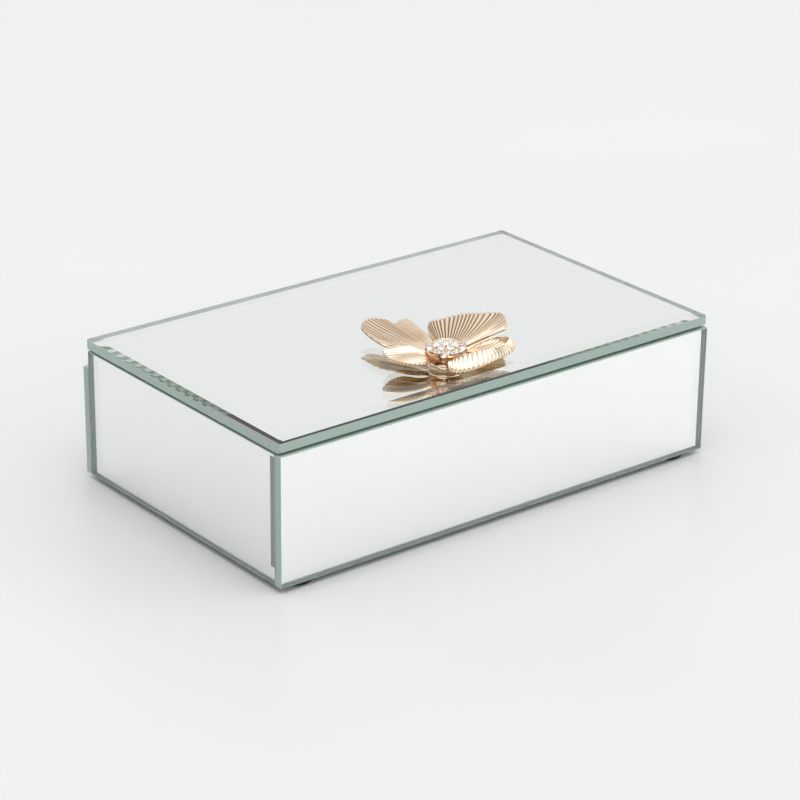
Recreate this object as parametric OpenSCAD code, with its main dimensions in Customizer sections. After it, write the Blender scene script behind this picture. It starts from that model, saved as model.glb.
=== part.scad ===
// Mirrored glass trinket box with a hinged bevelled lid and a metal flower on the lid.
// Millimetres. +X along the length, -Y towards the front, +Z up. The origin is under
// the middle of the box, on the surface that the feet stand on.

/* [Case] */
// Length of the case over the side mirrors
case_l = 200; // [170:1:240]
// Depth of the case over the front and back mirrors
case_d = 124; // [110:1:150]
// Height of the front and side mirrors
mirror_h = 50; // [40:1:70]
// Thickness of the wall mirrors
mirror_t = 3; // [3:0.5:4]
// Gap left at each end of a side mirror
seam = 0.4; // [0.2:0.1:0.6]
// Drop of the back mirror's top edge, which makes room for the hinges
hinge_gap = 7; // [7:0.5:9]

/* [Liner] */
// Thickness of the boards behind the mirrors and under the lid
board_t = 3; // [3:0.5:4]
// Thickness of the velvet on the walls
velvet_t = 1.2; // [1:0.1:1.5]
// Thickness of the velvet folded over the top of the walls
cap_t = 0.9; // [0.9:0.05:0.95]
// Thickness of the pad on the floor
floor_pad_t = 3; // [2:0.5:5]
// Thickness of the pad under the lid
lid_pad_t = 2; // [1.5:0.5:3]
// Space round each pad
pad_gap = 0.4; // [0.3:0.1:0.6]

/* [Lid] */
// Thickness of the lid mirror
lid_t = 4; // [4:0.5:5]
// Width of the bevel round the lid
bevel_w = 6.5; // [5:0.5:9]
// Height of the lid's rim below the bevel
rim_h = 3.5; // [3.2:0.1:3.8]
// How far the lid stands out past each side mirror
lid_over = 0.3; // [0:0.1:0.6]
// How far the lid's front edge stands back from the front mirror's face
lid_back = 0.8; // [0:0.1:1]
// Space between the lid mirror and the wall mirrors
lid_gap = 1; // [1:0.1:1.2]
// Space round the lid board inside the walls
lid_play = 1.5; // [1.2:0.1:2]

/* [Hinges] */
// Length of each hinge
hinge_l = 24; // [22:1:30]
// Distance of each hinge from the middle of the box
hinge_x = 60; // [45:1:66]
// Radius of the hinge pin
pin_r = 0.7; // [0.6:0.05:0.75]
// Thickness of the hinge leaves
leaf_t = 0.8; // [0.7:0.05:0.8]

/* [Feet] */
// Diameter of each foot pad
foot_d = 14; // [10:1:16]
// Height of each foot pad
foot_h = 2; // [1.5:0.5:3]

/* [Flower] */
// Flower's place along the length
flower_x = -9.4; // [-30:0.1:30]
// Flower's place along the depth
flower_y = -39.2; // [-42:0.1:-20]
// Turn of the flower about its stud
flower_turn = -38.5; // [-90:0.5:90]
// Thickness of the petals
petal_t = 1; // [0.8:0.1:1.2]
// Diameter of the larger stones
stone_d = 3; // [2.6:0.1:3.2]

/* [Hidden] */
$fn = 64;

glass = [0.86, 0.92, 0.9];
board = [0.62, 0.5, 0.36];
velvet = [0.16, 0.16, 0.18];
foam = [0.08, 0.08, 0.08];
steel = [0.75, 0.72, 0.62];
gold = [0.85, 0.68, 0.42];
crystal = [0.95, 0.96, 1];

// Levels and faces that several pieces share
mirror_z = foot_h;
wall_top = mirror_z + mirror_h;
lid_z = wall_top + lid_gap;
lid_top = lid_z + lid_t;
half_l = case_l / 2;
half_d = case_d / 2;
back_top = wall_top - hinge_gap;
liner_l = case_l - 2 * mirror_t;
liner_d = case_d - 2 * mirror_t;
room_l = liner_l - 2 * board_t;
room_d = liner_d - 2 * board_t;
board_top = foot_h + board_t;
pad_top = board_top + floor_pad_t;
cavity_l = room_l - 2 * velvet_t;
cavity_d = room_d - 2 * velvet_t;

// The lid
lid_l = case_l + 2 * lid_over;
lid_front = lid_back - half_d;
lid_rear = half_d - mirror_t;
lid_board_l = cavity_l - 2 * lid_play;
lid_board_d = cavity_d - 2 * lid_play;

// The hinges
knuckle_r = 1.5;
third = hinge_l / 6;
axis_y = lid_rear + knuckle_r;
axis_z = lid_z - knuckle_r;
pin_play = 0.05;
knuckle_gap = 0.15;
leaf_reach = 12;
case_leaf_foot = 0.3;
screw_r = 0.8;
screw_head_r = 1.6;
screw_head_t = 0.6;
screw_l = 2.4;
screw_x = 7;
case_screw_rise = 2.1;
case_screw_z = back_top + case_screw_rise;
lid_screw_inset = 5;
lid_screw_y = lid_board_d / 2 - lid_screw_inset;
notch_gap = 0.5;

// How far a cutting shape runs past the face that it opens
past = 1;

// The feet
foot_inset_x = 11.5;
foot_inset_y = 8.5;
foot_x = half_l - foot_inset_x;
foot_y = half_d - foot_inset_y;
foot_step = 0.3;

// The flower's stud, cup and stones
base_r = 6.5;
base_h = 1.4;
boss_r = 3.6;
boss_h = 2.15;
stud_r = 2.2;
cup_z = 5.2;
cup_r = 7.9;
cup_h = 1.9;
cup_rim = 0.6;
neck_r = 4.4;
neck_z = 3.3;
stone_z = cup_z + cup_h;
stone_dome = 0.055;
stone_sink = 0.9;
stone_girdle = 0.3;
stone_crown = 0.75;
stone_table = 0.55;
pocket_h = 4;
root_r = 3.4;
root_z = 2.7;
petal_steps_out = 9;
petal_steps_round = 26;

// ---- Shapes that repeat ----

module block(size, at) {
  translate(at) cube(size);
}

// A flat sheet from corner a to corner b
module box_between(a, b) {
  translate(a) cube(b - a);
}

// One wall's velvet: a sheet inside the wall with a fold over its top, drawn for the wall
// whose inner face looks along -Y, half the wall's length w each way and its face at y
module lining(w, cap_w, y) {
  box_between([-w, y - velvet_t, board_top], [w, y, wall_top + cap_t]);
  box_between([-cap_w, y - velvet_t, wall_top], [cap_w, y + board_t, wall_top + cap_t]);
}

module foot(sx, sy) {
  color(foam) translate([sx * foot_x, sy * foot_y, 0]) {
    cylinder(d = foot_d - 2 * foot_step, h = foot_h);
    translate([0, 0, foot_step]) cylinder(d = foot_d, h = foot_h - foot_step);
  }
}

// A countersunk screw pointing down from the face at z = 0
module screw() {
  translate([0, 0, -screw_l]) cylinder(r = screw_r, h = screw_l);
  translate([0, 0, -screw_head_t]) cylinder(r1 = screw_r, r2 = screw_head_r, h = screw_head_t);
}

// The stretch of barrel between two places along the hinge
module barrel(from, to) {
  translate([from, axis_y, axis_z]) rotate([0, 90, 0]) cylinder(r = knuckle_r, h = to - from);
}

module pin_bore(r) {
  translate([-hinge_l, axis_y, axis_z]) rotate([0, 90, 0]) cylinder(r = r, h = 2 * hinge_l);
}

// The leaf on the case: a plate on the back board with the two outer knuckles
module case_leaf(side) {
  color(steel) translate([side * hinge_x, 0, 0]) difference() {
    union() {
      barrel(-hinge_l / 2, -third - knuckle_gap);
      barrel(third + knuckle_gap, hinge_l / 2);
      difference() {
        box_between([-hinge_l / 2, lid_rear, back_top + case_leaf_foot],
                    [hinge_l / 2, lid_rear + leaf_t, axis_z]);
        box_between([-third - knuckle_gap, lid_rear - past, axis_z - knuckle_r - knuckle_gap],
                    [third + knuckle_gap, lid_rear + knuckle_r, axis_z + past]);
      }
    }
    pin_bore(pin_r);
    for (i = [-1, 1])
      translate([i * screw_x, lid_rear + leaf_t, case_screw_z]) rotate([-90, 0, 0]) screw();
  }
}

// The leaf under the lid: a plate below the glass with the middle knuckle
module lid_leaf(side) {
  color(steel) translate([side * hinge_x, 0, 0]) difference() {
    union() {
      barrel(-third, third);
      difference() {
        box_between([-hinge_l / 2, axis_y - leaf_reach - knuckle_r, lid_z - leaf_t],
                    [hinge_l / 2, axis_y, lid_z]);
        for (i = [-1, 1])
          translate([i * (hinge_l / 2 + third) / 2, axis_y, lid_z])
            cube([hinge_l / 2 - third, 2 * knuckle_r + 2 * knuckle_gap, 4 * knuckle_r], center = true);
      }
    }
    pin_bore(pin_r + pin_play);
    for (i = [-1, 1]) translate([i * screw_x, lid_screw_y, lid_z]) screw();
  }
}

module hinge_pin(side) {
  color(steel) translate([side * hinge_x - hinge_l / 2, axis_y, axis_z])
    rotate([0, 90, 0]) cylinder(r = pin_r, h = hinge_l);
}

// ---- Petals ----
// A petal is a sheet of rays. Each ray runs from the stud to the rim as a curve with one
// knee, and the knees and rims between the given ones follow a smooth curve.
// Places are from the stud: x to the right, y away and z up from the glass.

function given(list, i) = list[max(0, min(len(list) - 1, i))];
function smooth_curve(a, b, c, d, s) =
  0.5 * (2 * b + (c - a) * s + (2 * a - 5 * b + 4 * c - d) * s * s
         + (3 * b - a - 3 * c + d) * s * s * s);
function along(list, t) =
  let(n = len(list) - 1, i = min(n - 1, floor(t * n)), s = t * n - i)
  smooth_curve(given(list, i - 1), given(list, i), given(list, i + 1), given(list, i + 2), s);
function root_point(roots, t) =
  let(a = roots[0] + (roots[1] - roots[0]) * t) [root_r * cos(a), root_r * sin(a), root_z];
function petal_point(p, u, t) =
  (1 - u) * (1 - u) * root_point(p[0], t) + 2 * u * (1 - u) * along(p[1], t)
  + u * u * along(p[2], t);
function unit(v) = v / norm(v);
function petal_normal(p, u, t) =
  let(e = 0.01, u0 = max(0, u - e), u1 = min(1, u + e), t0 = max(0, t - e), t1 = min(1, t + e))
  unit(cross(petal_point(p, u1, t) - petal_point(p, u0, t),
             petal_point(p, u, t1) - petal_point(p, u, t0)));

module petal(p) {
  n = petal_steps_out;
  m = petal_steps_round;
  row = m + 1;
  layer = (n + 1) * row;
  points = [for (side = [1, -1], i = [0:n], j = [0:m])
    petal_point(p, i / n, j / m) + side * petal_t / 2 * petal_normal(p, i / n, j / m)];
  top = [for (i = [0:n - 1], j = [0:m - 1]) each let(a = i * row + j)
    [[a, a + 1, a + row + 1], [a, a + row + 1, a + row]]];
  bottom = [for (f = top) [f[0] + layer, f[2] + layer, f[1] + layer]];
  edge = concat([for (j = [0:m]) j], [for (i = [1:n]) i * row + m],
                [for (j = [m - 1:-1:0]) n * row + j], [for (i = [n - 1:-1:1]) i * row]);
  count = len(edge);
  wall = [for (k = [0:count - 1]) each let(a = edge[k], b = edge[(k + 1) % count])
    [[a, a + layer, b + layer], [a, b + layer, b]]];
  polyhedron(points, concat(top, bottom, wall));
}

// Each petal: its first and last angle at the stud, the knees, then the rim
left_petal = [[172, 112],
  [[-8, 0, 3], [-17, 6, 2], [-24, 12, 1.4], [-24, 16, 2.6], [-20, 19, 4.2], [-16, 18, 4.8],
   [-13, 16, 4.4], [-11, 17.5, 6.2], [-9.2, 17, 6.2], [-7.2, 14, 4.8], [-4.5, 9.3, 3.7],
   [-2.5, 5.8, 3.2]],
  [[-13.5, 2.8, 3], [-23, 8, 3.5], [-30, 19, 4.5], [-30.5, 24, 5.7], [-27.5, 27.5, 6],
   [-22.5, 26.3, 6.2], [-19, 23.4, 5.6], [-16.5, 25.3, 6.2], [-14, 26.3, 6.2], [-10.8, 21.4, 6],
   [-7.4, 15.5, 5.4], [-4, 9, 4.2]]];
front_left_petal = [[182, 240],
  [[-8.5, -0.8, 3.9], [-10, -1, 4.7], [-11.5, -1, 5.3], [-13, -2.5, 5.5], [-13.5, -4.5, 5.2],
   [-13, -6.5, 4.6], [-11, -7, 4], [-8.5, -7.5, 3.2], [-6, -7.5, 2.8], [-4, -6.5, 2.5]],
  [[-12.5, 3.2, 4.9], [-14.5, 4.6, 5.3], [-16.5, 5, 5.6], [-20, 2.5, 6], [-22.5, -4.5, 6.2],
   [-21, -8.5, 5.2], [-18, -10.5, 4.7], [-14, -11.5, 4.2], [-8.5, -10.5, 3.5], [-5, -7.5, 2.5]]];
right_petal = [[-98, 24],
  [[1.5, -13, 1], [3.5, -18, -0.5], [9.5, -18, -1], [17, -12, -1], [24, -3, -0.5],
   [29, 3, 0], [34, 12, 0.5], [28, 12.5, 1], [20, 13, 2], [14, 9, 2.6], [9, 5, 2.8],
   [6, 2, 3]],
  [[1, -9, 4], [2.5, -10, 5], [7.5, -7, 6], [13.5, -3.5, 6.5], [17, 0, 6], [19.5, 2, 5.5],
   [21.5, 4.5, 6], [23, 9, 6], [22, 11, 6], [17.5, 11, 6], [12, 7.5, 5.2], [8.5, 4, 4.6]]];
back_petal = [[44, 100],
  [[12, 12, 4.3], [14.5, 14, 4.5], [14.5, 17, 4.5], [13, 18, 4.3], [9, 18, 4], [5.5, 17.5, 3.8],
   [2, 17, 3.5], [-1, 16, 3.2], [-3.5, 15, 3.2], [-4, 13, 3.2], [-3.5, 10, 3.2]],
  [[22, 17, 6.5], [22.5, 21.9, 7], [21.5, 28.9, 7.5], [19, 29.6, 8], [12.5, 27.6, 8.5],
   [8, 27.1, 8.5], [3.5, 26.4, 8], [-2, 24.8, 7], [-5.5, 24, 6.5], [-6.5, 21.4, 5.5],
   [-6, 16.5, 4.5]]];

module on_flower() {
  translate([flower_x, flower_y, lid_top]) rotate([0, 0, flower_turn]) children();
}

// The stones' centres: one in the middle and two rings round it
inner_ring = 6;
inner_ring_r = 3.25;
outer_ring = 12;
outer_ring_r = 6.3;
stone_places = concat([[0, 0]],
  [for (i = [0:inner_ring - 1]) [inner_ring_r, 360 * i / inner_ring]],
  [for (i = [0:outer_ring - 1]) [outer_ring_r, 360 * (i + 0.5) / outer_ring]]);

// How far a stone stands below the middle one
function dome_drop(r) = stone_dome * r * r / 2;

module at_stone(place) {
  rotate([0, 0, place[1]]) translate([place[0], 0, stone_z - dome_drop(place[0])]) children();
}

// ---- Case ----

module front_mirror() {
  color(glass) box_between([-half_l, -half_d, mirror_z], [half_l, mirror_t - half_d, wall_top]);
}

module back_mirror() {
  color(glass) box_between([-half_l, half_d - mirror_t, mirror_z], [half_l, half_d, back_top]);
}

module left_mirror() {
  y = liner_d / 2 - seam;
  color(glass) box_between([-half_l, -y, mirror_z], [mirror_t - half_l, y, wall_top]);
}

module right_mirror() {
  mirror([1, 0, 0]) left_mirror();
}

module base_board() {
  color(board) block([liner_l, liner_d, board_t], [-liner_l / 2, -liner_d / 2, foot_h]);
}

module front_board() {
  color(board)
    box_between([-liner_l / 2, -liner_d / 2, board_top], [liner_l / 2, -room_d / 2, wall_top]);
}

module back_board() {
  color(board) difference() {
    box_between([-liner_l / 2, room_d / 2, board_top], [liner_l / 2, liner_d / 2, wall_top]);
    for (side = [-1, 1], i = [-1, 1])
      translate([side * hinge_x + i * screw_x, lid_rear + leaf_t, case_screw_z])
        rotate([-90, 0, 0]) screw();
  }
}

module left_board() {
  color(board)
    box_between([-liner_l / 2, -room_d / 2, board_top], [-room_l / 2, room_d / 2, wall_top]);
}

module right_board() {
  mirror([1, 0, 0]) left_board();
}

module floor_pad() {
  l = cavity_l - 2 * pad_gap;
  d = cavity_d - 2 * pad_gap;
  color(velvet) block([l, d, floor_pad_t], [-l / 2, -d / 2, board_top]);
}

module front_lining() {
  color(velvet) rotate([0, 0, 180]) lining(room_l / 2, liner_l / 2, room_d / 2);
}

module back_lining() {
  color(velvet) difference() {
    lining(room_l / 2, liner_l / 2, room_d / 2);
    for (side = [-1, 1])
      translate([side * hinge_x, room_d / 2, wall_top + cap_t])
        cube([hinge_l + 2 * notch_gap, 4 * board_t, 2 * cap_t], center = true);
  }
}

module left_lining() {
  color(velvet) rotate([0, 0, 90]) lining(cavity_d / 2, cavity_d / 2, room_l / 2);
}

module right_lining() {
  mirror([1, 0, 0]) left_lining();
}

module foot_front_left() {
  foot(-1, -1);
}

module foot_front_right() {
  foot(1, -1);
}

module foot_back_left() {
  foot(-1, 1);
}

module foot_back_right() {
  foot(1, 1);
}

module left_hinge_case_leaf() {
  case_leaf(-1);
}

module right_hinge_case_leaf() {
  case_leaf(1);
}

module left_hinge_pin() {
  hinge_pin(-1);
}

module right_hinge_pin() {
  hinge_pin(1);
}

module case_leaf_screws() {
  color(steel) for (side = [-1, 1], i = [-1, 1])
    translate([side * hinge_x + i * screw_x, lid_rear + leaf_t, case_screw_z])
      rotate([-90, 0, 0]) screw();
}

// ---- Lid ----

// The wedge that the bevel takes off one edge, along X, with the rim's face at y = 0
module bevel_cut(length) {
  reach = 2 * bevel_w;
  drop = lid_t - rim_h;
  translate([-length, 0, 0]) rotate([90, 0, 90]) linear_extrude(2 * length)
    polygon([[bevel_w, lid_t], [-bevel_w, rim_h - drop], [-bevel_w, lid_t + reach],
             [bevel_w, lid_t + reach]]);
}

module lid_mirror() {
  d = lid_rear - lid_front;
  mid = (lid_rear + lid_front) / 2;
  color(glass) translate([0, mid, lid_z]) difference() {
    box_between([-lid_l / 2, -d / 2, 0], [lid_l / 2, d / 2, lid_t]);
    for (turn = [0, 180]) rotate([0, 0, turn]) {
      translate([0, -d / 2, 0]) bevel_cut(lid_l);
      rotate([0, 0, 90]) translate([0, -lid_l / 2, 0]) bevel_cut(lid_l);
    }
  }
}

module lid_board() {
  color(board) difference() {
    box_between([-lid_board_l / 2, -lid_board_d / 2, lid_z - board_t],
                [lid_board_l / 2, lid_board_d / 2, lid_z]);
    for (side = [-1, 1]) {
      box_between([side * hinge_x - hinge_l / 2, axis_y - leaf_reach - knuckle_r, lid_z - leaf_t],
                  [side * hinge_x + hinge_l / 2, axis_y, lid_z + past]);
      for (i = [-1, 1])
        translate([side * hinge_x + i * screw_x, lid_screw_y, lid_z]) screw();
    }
  }
}

module lid_pad() {
  z = lid_z - board_t;
  color(velvet) box_between([-lid_board_l / 2, -lid_board_d / 2, z - lid_pad_t],
                            [lid_board_l / 2, lid_board_d / 2, z]);
}

module left_hinge_lid_leaf() {
  lid_leaf(-1);
}

module right_hinge_lid_leaf() {
  lid_leaf(1);
}

module lid_leaf_screws() {
  color(steel) for (side = [-1, 1], i = [-1, 1])
    translate([side * hinge_x + i * screw_x, lid_screw_y, lid_z]) screw();
}

// ---- Flower ----

module flower_base() {
  color(gold) on_flower() {
    cylinder(r = base_r, h = base_h);
    cylinder(r = boss_r, h = boss_h);
    cylinder(r = stud_r, h = neck_z);
  }
}

module petal_left() {
  color(gold) on_flower() petal(left_petal);
}

module petal_front_left() {
  color(gold) on_flower() petal(front_left_petal);
}

module petal_right() {
  color(gold) on_flower() petal(right_petal);
}

module petal_back() {
  color(gold) on_flower() petal(back_petal);
}

module stone_cup() {
  color(gold) on_flower() difference() {
    union() {
      translate([0, 0, neck_z]) cylinder(r = neck_r, h = cup_z - neck_z);
      translate([0, 0, cup_z]) cylinder(r1 = cup_r - cup_h, r2 = cup_r, h = cup_h);
      translate([0, 0, cup_z + cup_h - cup_rim]) cylinder(r = cup_r, h = cup_rim);
    }
    for (place = stone_places) at_stone(place)
      translate([0, 0, -stone_sink]) cylinder(d = stone_d, h = pocket_h);
  }
}

module stones() {
  color(crystal) on_flower() for (place = stone_places) at_stone(place) {
    translate([0, 0, -stone_sink]) cylinder(d = stone_d, h = stone_sink + stone_girdle);
    translate([0, 0, stone_girdle])
      cylinder(d1 = stone_d, d2 = stone_table * stone_d, h = stone_crown);
  }
}

front_mirror();
back_mirror();
left_mirror();
right_mirror();
base_board();
front_board();
back_board();
left_board();
right_board();
floor_pad();
front_lining();
back_lining();
left_lining();
right_lining();
foot_front_left();
foot_front_right();
foot_back_left();
foot_back_right();
left_hinge_case_leaf();
right_hinge_case_leaf();
left_hinge_pin();
right_hinge_pin();
case_leaf_screws();
lid_mirror();
lid_board();
lid_pad();
left_hinge_lid_leaf();
right_hinge_lid_leaf();
lid_leaf_screws();
flower_base();
petal_left();
petal_front_left();
petal_right();
petal_back();
stone_cup();
stones();
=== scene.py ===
"""Looks of the mirrored trinket box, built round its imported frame.

Metres, in the frame's own axes: +X along the length, -Y towards the front, +Z up. Each
operator makes one piece or one group of like pieces, and main() calls them in order.
"""

import math

import bmesh
import bpy
import numpy as np
from mathutils import Matrix, Vector, noise


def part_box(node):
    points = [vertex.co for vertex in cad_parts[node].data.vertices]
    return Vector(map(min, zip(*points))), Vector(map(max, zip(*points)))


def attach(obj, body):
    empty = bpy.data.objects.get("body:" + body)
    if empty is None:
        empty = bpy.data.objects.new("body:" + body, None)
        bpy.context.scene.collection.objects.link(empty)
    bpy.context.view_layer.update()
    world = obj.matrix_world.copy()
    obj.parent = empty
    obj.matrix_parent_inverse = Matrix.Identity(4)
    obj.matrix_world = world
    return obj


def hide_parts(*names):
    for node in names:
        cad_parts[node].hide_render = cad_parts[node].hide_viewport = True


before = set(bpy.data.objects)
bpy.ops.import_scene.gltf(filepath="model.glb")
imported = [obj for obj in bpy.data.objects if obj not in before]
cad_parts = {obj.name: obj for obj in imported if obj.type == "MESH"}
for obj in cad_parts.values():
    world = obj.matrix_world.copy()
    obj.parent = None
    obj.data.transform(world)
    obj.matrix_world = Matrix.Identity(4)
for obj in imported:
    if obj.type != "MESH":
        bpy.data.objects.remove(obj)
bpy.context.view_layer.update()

bl_info = {
    "name": "Mirrored Trinket Box",
    "version": (1, 0, 0),
    "blender": (4, 5, 0),
    "location": "View3D > Sidebar > Trinket Box",
    "description": "Builds the glass, velvet, hinges and gilt flower of a mirrored trinket box",
    "category": "Object",
}

MM = 0.001
CASE = "case"
LID = "lid"

# The silver film stands this far in front of the board behind it, so that the two
# surfaces never share a plane.
FILM_GAP = 0.02 * MM
PAINT_T = 0.04 * MM

GLASS_IOR = 1.52

# Length of each mark that the wheel left on the lid's left edge.
SKIP = 2.7 * MM
VELVET_T = 1.2 * MM

# What each face of a mirror is finished with: the order of its materials.
# In a wall mirror SEALED also marks the foot band, whose sealer grey is painted shade.
CLEAR, SILVERED, SEALED, GROUND = range(4)

# A face looks a way if its normal is nearly that way.
NEARLY = 0.99


# ---- Colours and nodes ----

def linear(hex_colour):
    """An sRGB hex value as a linear colour with alpha."""
    values = [int(hex_colour[i:i + 2], 16) / 255 for i in (1, 3, 5)]
    return tuple(
        v / 12.92 if v <= 0.04045 else ((v + 0.055) / 1.055) ** 2.4 for v in values
    ) + (1.0,)


def add(tree, kind, inputs=(), out=0, **settings):
    """Adds one node, sets its settings, sets or links its inputs, and gives one output.

    Inputs go by name or number in a dict, or in their order in a tuple. A list links
    every one of its sockets, and None leaves an input alone.
    """
    node = tree.nodes.new(kind)
    for key, value in settings.items():
        setattr(node, key, value)
    for key, value in inputs.items() if isinstance(inputs, dict) else enumerate(inputs):
        for each in value if isinstance(value, list) else [value]:
            if isinstance(each, bpy.types.NodeSocket):
                tree.links.new(each, node.inputs[key])
            elif each is not None:
                node.inputs[key].default_value = each
    return node.outputs[out] if node.outputs else node


def begin(name):
    """An empty node material, its tree and its coordinates."""
    made = bpy.data.materials.new(name)
    made.use_nodes = True
    made.node_tree.nodes.clear()
    return made, made.node_tree, add(made.node_tree, "ShaderNodeTexCoord", out="Object")


def coat(made, sockets, volume=None):
    """Ends a material: its surface and, in glass, what lies inside."""
    surface = add(made.node_tree, "ShaderNodeBsdfPrincipled", sockets)
    add(made.node_tree, "ShaderNodeOutputMaterial", {"Surface": surface, "Volume": volume})
    return made


def grained(name, grain, roughness, colours=None, relief=None, pores=None, sockets=(),
            iron=False):
    """A finish whose colour, gloss and relief follow one grain.

    grain is the number of its features in a metre and their detail. roughness is where
    in the grain it starts and stops changing, then its two values. relief is a height
    and a strength, taken from round pores, so many in a metre, where they are given.
    """
    made, tree, place = begin(name)
    texture = add(tree, "ShaderNodeTexNoise",
                  {"Vector": place, "Scale": grain[0], "Detail": grain[1]})
    inputs = {"Roughness": add(tree, "ShaderNodeMapRange", (texture,) + roughness)}
    if colours:
        inputs["Base Color"] = add(
            tree, "ShaderNodeMix", {0: texture, 6: linear(colours[0]), 7: linear(colours[1])},
            out=2, data_type="RGBA")
    if relief:
        height = texture
        if pores:
            height = add(tree, "ShaderNodeTexVoronoi", {"Vector": place, "Scale": pores})
        inputs["Normal"] = add(tree, "ShaderNodeBump", {
            "Height": height, "Distance": relief[0], "Strength": relief[1]})
    volume = None
    if iron:
        settings = bpy.context.scene.trinket_glass
        volume = add(tree, "ShaderNodeVolumeAbsorption", {
            "Color": tuple(settings.iron_tint), "Density": settings.iron_density})
    return coat(made, {**inputs, **dict(sockets)}, volume)


# ---- Materials ----

METAL = {"Metallic": 1.0}


def float_glass():
    """Float glass, drawn on tin and polished, with a few faint smears.

    The iron in it takes a little red and less blue from every centimetre of a path, so
    it is clear through its thin way and green through its long way.
    """
    return grained("float_glass", (45.0, 2.0), (0.55, 0.8, 0.0, 0.012), iron=True,
                   sockets={"Base Color": linear("#FFFFFF"), "IOR": GLASS_IOR,
                            "Transmission Weight": 1.0})


def ground_edge():
    """The same glass where a wheel has ground its edge: satin, and green inside."""
    return grained("ground_float_glass", (1400.0, 3.0), (0.0, 1.0, 0.4, 0.55),
                   ("#AEC4B9", "#C2D4CA"), iron=True,
                   sockets={"IOR": GLASS_IOR, "Transmission Weight": 0.35})


def silver_film():
    """Silver laid chemically on the glass: nearly all light comes back, a touch warm."""
    return grained("silver_film", (30.0, 2.0), (0.5, 0.9, 0.0, 0.01),
                   ("#F8F8F7", "#FBFBFA"), sockets=METAL)


def backing_paint():
    """Grey backing lacquer, sprayed over the silver: flat, with a fine orange peel."""
    return grained("backing_lacquer", (900.0, 3.0), (0.0, 1.0, 0.45, 0.6),
                   ("#6A736D", "#7C857F"), (0.02 * MM, 1.0))


def sealer_and_foot_shade():
    """Grey-green mirror sealer, brushed on the bare glass where two mirrors meet.
    Along each wall mirror's foot the same grey is painted shade for the gap under the box.
    """
    return grained("sealer_and_foot_shade", (700.0, 3.0), (0.0, 1.0, 0.5, 0.7),
                   ("#B0B3B1", "#C6C9C7"), (0.03 * MM, 1.0))


def wrapped_board():
    """Fibreboard wrapped in dark book paper: dull, with a fine pebble grain."""
    return grained("paper_wrapped_fibreboard", (350.0, 3.0), (0.0, 1.0, 0.62, 0.8),
                   ("#24242A", "#35353C"), (0.05 * MM, 0.7), pores=1600.0)


def foam_rubber():
    """Closed-cell EVA foam, die-cut: black and dull, with open cells on its cut sides."""
    return grained("eva_foam", (260.0, 3.0), (0.0, 1.0, 0.75, 0.92),
                   ("#17181A", "#26272A"), (0.08 * MM, 0.8), pores=2200.0)


def cut_stone():
    """Machine-cut lead-free crystal: clear, with hard sparks from its facets."""
    return grained("cut_crystal", (1500.0, 3.0), (0.0, 1.0, 0.0, 0.03),
                   sockets={"Base Color": linear("#FFFFFF"), "IOR": 1.6,
                            "Transmission Weight": 1.0})


def stone_foil():
    """Mirror foil behind each stone: bright, faintly crinkled."""
    return grained("stone_foil", (2600.0, 3.0), (0.0, 1.0, 0.04, 0.14),
                   ("#E9E8E6", "#FAFAF8"), sockets=METAL)


def ground_arris():
    """Glass edge left as the wheel ground it: grey, with the marks of the grit.

    Towards the back it was ground finer, and the green of the glass comes through.
    """
    made, tree, place = begin("ground_glass_edge")
    stretch = add(tree, "ShaderNodeMapping", {"Vector": place, "Scale": (6.0, 1.0, 6.0)})
    marks = add(tree, "ShaderNodeTexNoise", {"Vector": stretch, "Scale": 900.0, "Detail": 4.0})
    along = add(tree, "ShaderNodeSeparateXYZ", {"Vector": place}, out="Y")
    ends = [add(tree, "ShaderNodeMix", {0: marks, 6: linear(dark), 7: linear(pale)}, out=2,
                data_type="RGBA") for dark, pale in (("#8A8C89", "#9C9E9B"),
                                                     ("#86A394", "#9DB8AA"))]
    how_far = add(tree, "ShaderNodeMapRange", (along, -20 * MM, 35 * MM, 0.0, 1.0))
    return coat(made, {
        "Base Color": add(tree, "ShaderNodeMix", {0: how_far, 6: ends[0], 7: ends[1]}, out=2,
                          data_type="RGBA"),
        "Roughness": add(tree, "ShaderNodeMapRange", (marks, 0.0, 1.0, 0.3, 0.5)),
        "Normal": add(tree, "ShaderNodeBump", {
            "Height": marks, "Distance": 0.02 * MM, "Strength": 1.0}),
    })


def velvet():
    """Cut-pile cotton velvet: dark where the pile is seen end on, pale along its edges.

    The real pile is too fine to show, so its tufts are drawn about 0.6 mm apart. The
    broad cloud is where fingers have laid the pile over.
    """
    settings = bpy.context.scene.trinket_fabric
    made, tree, place = begin("cotton_velvet")
    tufts = add(tree, "ShaderNodeTexVoronoi", {"Vector": place, "Scale": 1600.0})
    brushed = add(tree, "ShaderNodeTexNoise", {
        "Vector": place, "Scale": 38.0, "Detail": 4.0, "Roughness": 0.6})
    nap = add(tree, "ShaderNodeTexNoise", {"Vector": place, "Scale": 420.0, "Detail": 2.0})
    both = add(tree, "ShaderNodeMath", (brushed, nap), operation="MULTIPLY")
    laid = add(tree, "ShaderNodeMapRange", (both, 0.12, 0.42, 0.0, 1.0))
    return coat(made, {
        "Base Color": add(tree, "ShaderNodeMix", {
            0: laid, 6: tuple(settings.pile_deep), 7: tuple(settings.pile_light)}, out=2,
            data_type="RGBA"),
        "Roughness": 0.9,
        "Specular IOR Level": 0.15,
        "Sheen Weight": 0.8,
        "Sheen Roughness": 0.35,
        "Sheen Tint": linear("#B9B7C4"),
        "Normal": add(tree, "ShaderNodeBump", {
            "Height": tufts, "Distance": 0.12 * MM, "Strength": 0.6}),
    })


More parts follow.
